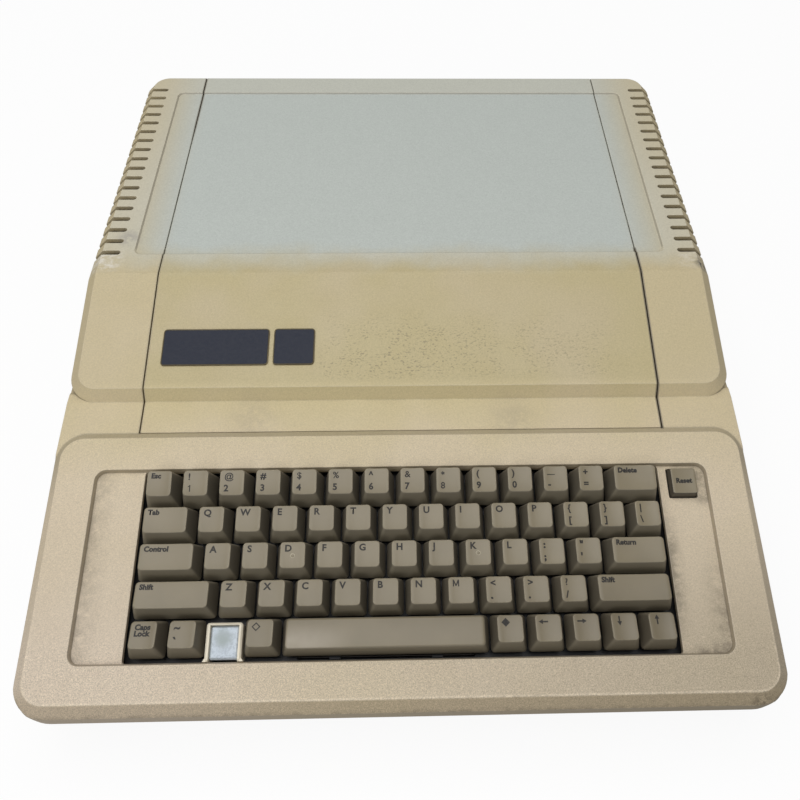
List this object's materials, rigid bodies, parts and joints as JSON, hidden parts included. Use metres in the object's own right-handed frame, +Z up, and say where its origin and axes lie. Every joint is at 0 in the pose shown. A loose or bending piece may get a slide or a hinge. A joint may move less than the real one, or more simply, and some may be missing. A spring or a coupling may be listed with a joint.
{
  "type": "vintage home computer",
  "caption": "Wedge-shaped vintage home computer with a built-in keyboard, a lift-off lid over its card bay, side vents and a recessed rear connector panel.",
  "frame": {"origin": "on the ground plane under the middle of the case's width and depth", "axes": "+X to the user's right, +Y from the keyboard to the rear connectors, +Z up"},
  "size_m": [0.384, 0.4564, 0.114],
  "materials": {
    "moulded_case": "fine spark-eroded texture, yellowed",
    "moulded_lid": "fine spark-eroded texture, yellowed",
    "catch_nylon": "natural nylon",
    "badge_plastic": "dark blue-grey badge, bare",
    "base_steel": "zinc-plated sheet",
    "foot_rubber": "moulded rubber",
    "screw_steel": "zinc-plated",
    "panel_steel": "zinc-plated sheet",
    "cover_plastic": "moulded covers",
    "supply_metal": "gold-tinted passivated sheet",
    "socket_plastic": "black socket moulding",
    "rocker_plastic": "black rocker",
    "harness_sleeve": "sleeved wires",
    "circuit_board": "green solder mask",
    "chip_plastic": "black epoxy",
    "slot_plastic": "moulded card sockets",
    "jack_brass": "plated phono jack",
    "speaker_metal": "black painted frame",
    "plate_metal": "dark painted sheet",
    "switch_plastic": "black switch housings",
    "ribbon_cable": "flat ribbon cable",
    "lamp_lens": "milky translucent lens",
    "lamp_frame_plastic": "pale moulded frame",
    "spring_wire": "bright wire",
    "keycap_plastic": "taupe double-shot keycap, worn to a light gloss"
  },
  "bodies": {
    "case": {"upper_case": "moulded_case", "base_plate": "base_steel", "feet": "foot_rubber", "case_screws": "screw_steel", "rear_panel": "panel_steel", "blanking_covers": "cover_plastic", "power_supply_case": "supply_metal", "mains_inlet": "socket_plastic", "power_harness": "harness_sleeve", "motherboard": "circuit_board", "board_standoffs": "catch_nylon", "logic_chips": "chip_plastic", "expansion_slots": "slot_plastic", "auxiliary_slot": "slot_plastic", "video_jack": "jack_brass", "cassette_jacks": "socket_plastic", "game_port": "panel_steel", "speaker": "speaker_metal", "keyboard_plate": "plate_metal", "keyboard_board": "circuit_board", "key_switches": "switch_plastic", "keyboard_cable": "ribbon_cable", "power_lamp": "lamp_lens", "lamp_frame": "lamp_frame_plastic"},
    "lid": {"lid": "moulded_lid", "lid_catches": "catch_nylon", "name_plate": "badge_plastic", "model_plate": "badge_plastic"},
    "power_switch": {"power_switch": "rocker_plastic"},
    "space_bar_wire": {"space_bar_wire": "spring_wire"},
    "key_esc": {"key_esc": "keycap_plastic"},
    "keys_1_to_4": {"keys_1_to_4": "keycap_plastic"},
    "keys_5_to_8": {"keys_5_to_8": "keycap_plastic"},
    "keys_9_to_equals": {"keys_9_to_equals": "keycap_plastic"},
    "key_delete": {"key_delete": "keycap_plastic"},
    "key_tab": {"key_tab": "keycap_plastic"},
    "keys_q_to_r": {"keys_q_to_r": "keycap_plastic"},
    "keys_t_to_i": {"keys_t_to_i": "keycap_plastic"},
    "keys_o_to_bracket": {"keys_o_to_bracket": "keycap_plastic"},
    "key_backslash": {"key_backslash": "keycap_plastic"},
    "key_control": {"key_control": "keycap_plastic"},
    "keys_a_to_f": {"keys_a_to_f": "keycap_plastic"},
    "keys_g_to_k": {"keys_g_to_k": "keycap_plastic"},
    "keys_l_to_quote": {"keys_l_to_quote": "keycap_plastic"},
    "key_return": {"key_return": "keycap_plastic"},
    "key_left_shift": {"key_left_shift": "keycap_plastic"},
    "keys_z_to_v": {"keys_z_to_v": "keycap_plastic"},
    "keys_b_to_comma": {"keys_b_to_comma": "keycap_plastic"},
    "keys_period_slash": {"keys_period_slash": "keycap_plastic"},
    "key_right_shift": {"key_right_shift": "keycap_plastic"},
    "key_caps_lock": {"key_caps_lock": "keycap_plastic"},
    "key_grave": {"key_grave": "keycap_plastic"},
    "key_left_function": {"key_left_function": "keycap_plastic"},
    "space_bar": {"space_bar": "keycap_plastic"},
    "key_right_function": {"key_right_function": "keycap_plastic"},
    "key_left_arrow": {"key_left_arrow": "keycap_plastic"},
    "key_right_arrow": {"key_right_arrow": "keycap_plastic"},
    "key_down_arrow": {"key_down_arrow": "keycap_plastic"},
    "key_up_arrow": {"key_up_arrow": "keycap_plastic"},
    "key_reset": {"key_reset": "keycap_plastic"}
  },
  "joints": [
    {"name": "key_esc_press", "type": "slide", "parent": "case", "child": "key_esc", "axis": [0, 0.2385, -0.9711], "range_m": [0, 0.0038], "stiffness_N_per_m": 150, "springref_m": -0.001},
    {"name": "keys_1_to_4_press", "type": "slide", "parent": "case", "child": "keys_1_to_4", "axis": [0, 0.2385, -0.9711], "range_m": [0, 0.0038], "stiffness_N_per_m": 600, "springref_m": -0.001},
    {"name": "keys_5_to_8_press", "type": "slide", "parent": "case", "child": "keys_5_to_8", "axis": [0, 0.2385, -0.9711], "range_m": [0, 0.0038], "stiffness_N_per_m": 600, "springref_m": -0.001},
    {"name": "keys_9_to_equals_press", "type": "slide", "parent": "case", "child": "keys_9_to_equals", "axis": [0, 0.2385, -0.9711], "range_m": [0, 0.0038], "stiffness_N_per_m": 600, "springref_m": -0.001},
    {"name": "key_delete_press", "type": "slide", "parent": "case", "child": "key_delete", "axis": [0, 0.2385, -0.9711], "range_m": [0, 0.0038], "stiffness_N_per_m": 150, "springref_m": -0.001},
    {"name": "key_tab_press", "type": "slide", "parent": "case", "child": "key_tab", "axis": [0, 0.2385, -0.9711], "range_m": [0, 0.0038], "stiffness_N_per_m": 150, "springref_m": -0.001},
    {"name": "keys_q_to_r_press", "type": "slide", "parent": "case", "child": "keys_q_to_r", "axis": [0, 0.2385, -0.9711], "range_m": [0, 0.0038], "stiffness_N_per_m": 600, "springref_m": -0.001},
    {"name": "keys_t_to_i_press", "type": "slide", "parent": "case", "child": "keys_t_to_i", "axis": [0, 0.2385, -0.9711], "range_m": [0, 0.0038], "stiffness_N_per_m": 600, "springref_m": -0.001},
    {"name": "keys_o_to_bracket_press", "type": "slide", "parent": "case", "child": "keys_o_to_bracket", "axis": [0, 0.2385, -0.9711], "range_m": [0, 0.0038], "stiffness_N_per_m": 600, "springref_m": -0.001},
    {"name": "key_backslash_press", "type": "slide", "parent": "case", "child": "key_backslash", "axis": [0, 0.2385, -0.9711], "range_m": [0, 0.0038], "stiffness_N_per_m": 150, "springref_m": -0.001},
    {"name": "key_control_press", "type": "slide", "parent": "case", "child": "key_control", "axis": [0, 0.2385, -0.9711], "range_m": [0, 0.0038], "stiffness_N_per_m": 150, "springref_m": -0.001},
    {"name": "keys_a_to_f_press", "type": "slide", "parent": "case", "child": "keys_a_to_f", "axis": [0, 0.2385, -0.9711], "range_m": [0, 0.0038], "stiffness_N_per_m": 600, "springref_m": -0.001},
    {"name": "keys_g_to_k_press", "type": "slide", "parent": "case", "child": "keys_g_to_k", "axis": [0, 0.2385, -0.9711], "range_m": [0, 0.0038], "stiffness_N_per_m": 600, "springref_m": -0.001},
    {"name": "keys_l_to_quote_press", "type": "slide", "parent": "case", "child": "keys_l_to_quote", "axis": [0, 0.2385, -0.9711], "range_m": [0, 0.0038], "stiffness_N_per_m": 450, "springref_m": -0.001},
    {"name": "key_return_press", "type": "slide", "parent": "case", "child": "key_return", "axis": [0, 0.2385, -0.9711], "range_m": [0, 0.0038], "stiffness_N_per_m": 150, "springref_m": -0.001},
    {"name": "key_left_shift_press", "type": "slide", "parent": "case", "child": "key_left_shift", "axis": [0, 0.2385, -0.9711], "range_m": [0, 0.0038], "stiffness_N_per_m": 150, "springref_m": -0.001},
    {"name": "keys_z_to_v_press", "type": "slide", "parent": "case", "child": "keys_z_to_v", "axis": [0, 0.2385, -0.9711], "range_m": [0, 0.0038], "stiffness_N_per_m": 600, "springref_m": -0.001},
    {"name": "keys_b_to_comma_press", "type": "slide", "parent": "case", "child": "keys_b_to_comma", "axis": [0, 0.2385, -0.9711], "range_m": [0, 0.0038], "stiffness_N_per_m": 600, "springref_m": -0.001},
    {"name": "keys_period_slash_press", "type": "slide", "parent": "case", "child": "keys_period_slash", "axis": [0, 0.2385, -0.9711], "range_m": [0, 0.0038], "stiffness_N_per_m": 300, "springref_m": -0.001},
    {"name": "key_right_shift_press", "type": "slide", "parent": "case", "child": "key_right_shift", "axis": [0, 0.2385, -0.9711], "range_m": [0, 0.0038], "stiffness_N_per_m": 150, "springref_m": -0.001},
    {"name": "key_caps_lock_press", "type": "slide", "parent": "case", "child": "key_caps_lock", "axis": [0, 0.2385, -0.9711], "range_m": [0, 0.0038], "stiffness_N_per_m": 150, "springref_m": -0.001},
    {"name": "key_grave_press", "type": "slide", "parent": "case", "child": "key_grave", "axis": [0, 0.2385, -0.9711], "range_m": [0, 0.0038], "stiffness_N_per_m": 150, "springref_m": -0.001},
    {"name": "key_left_function_press", "type": "slide", "parent": "case", "child": "key_left_function", "axis": [0, 0.2385, -0.9711], "range_m": [0, 0.0038], "stiffness_N_per_m": 150, "springref_m": -0.001},
    {"name": "space_bar_press", "type": "slide", "parent": "case", "child": "space_bar", "axis": [0, 0.2385, -0.9711], "range_m": [0, 0.0038], "stiffness_N_per_m": 150, "springref_m": -0.001},
    {"name": "key_right_function_press", "type": "slide", "parent": "case", "child": "key_right_function", "axis": [0, 0.2385, -0.9711], "range_m": [0, 0.0038], "stiffness_N_per_m": 150, "springref_m": -0.001},
    {"name": "key_left_arrow_press", "type": "slide", "parent": "case", "child": "key_left_arrow", "axis": [0, 0.2385, -0.9711], "range_m": [0, 0.0038], "stiffness_N_per_m": 150, "springref_m": -0.001},
    {"name": "key_right_arrow_press", "type": "slide", "parent": "case", "child": "key_right_arrow", "axis": [0, 0.2385, -0.9711], "range_m": [0, 0.0038], "stiffness_N_per_m": 150, "springref_m": -0.001},
    {"name": "key_down_arrow_press", "type": "slide", "parent": "case", "child": "key_down_arrow", "axis": [0, 0.2385, -0.9711], "range_m": [0, 0.0038], "stiffness_N_per_m": 150, "springref_m": -0.001},
    {"name": "key_up_arrow_press", "type": "slide", "parent": "case", "child": "key_up_arrow", "axis": [0, 0.2385, -0.9711], "range_m": [0, 0.0038], "stiffness_N_per_m": 150, "springref_m": -0.001},
    {"name": "key_reset_press", "type": "slide", "parent": "case", "child": "key_reset", "axis": [0, 0.2385, -0.9711], "range_m": [0, 0.0038], "stiffness_N_per_m": 150, "springref_m": -0.001},
    {"name": "space_bar_wire_turn", "type": "hinge", "parent": "case", "child": "space_bar_wire", "pos_m": [0, -0.20046, 0.04884], "axis": [1, 0, 0], "range_deg": [-15.2, 0]},
    {"name": "power_switch_rock", "type": "hinge", "parent": "case", "child": "power_switch", "pos_m": [-0.15, 0.2177, 0.05], "axis": [1, 0, 0], "range_deg": [0, 14]},
    {"name": "lid_lift", "type": "slide", "parent": "case", "child": "lid", "axis": [0, 0, 1], "range_m": [0, 0.12]}
  ],
  "couplings": [
    {"joint": "space_bar_wire_turn", "follows": "space_bar_press", "rad_per_m": -68.569}
  ]
}
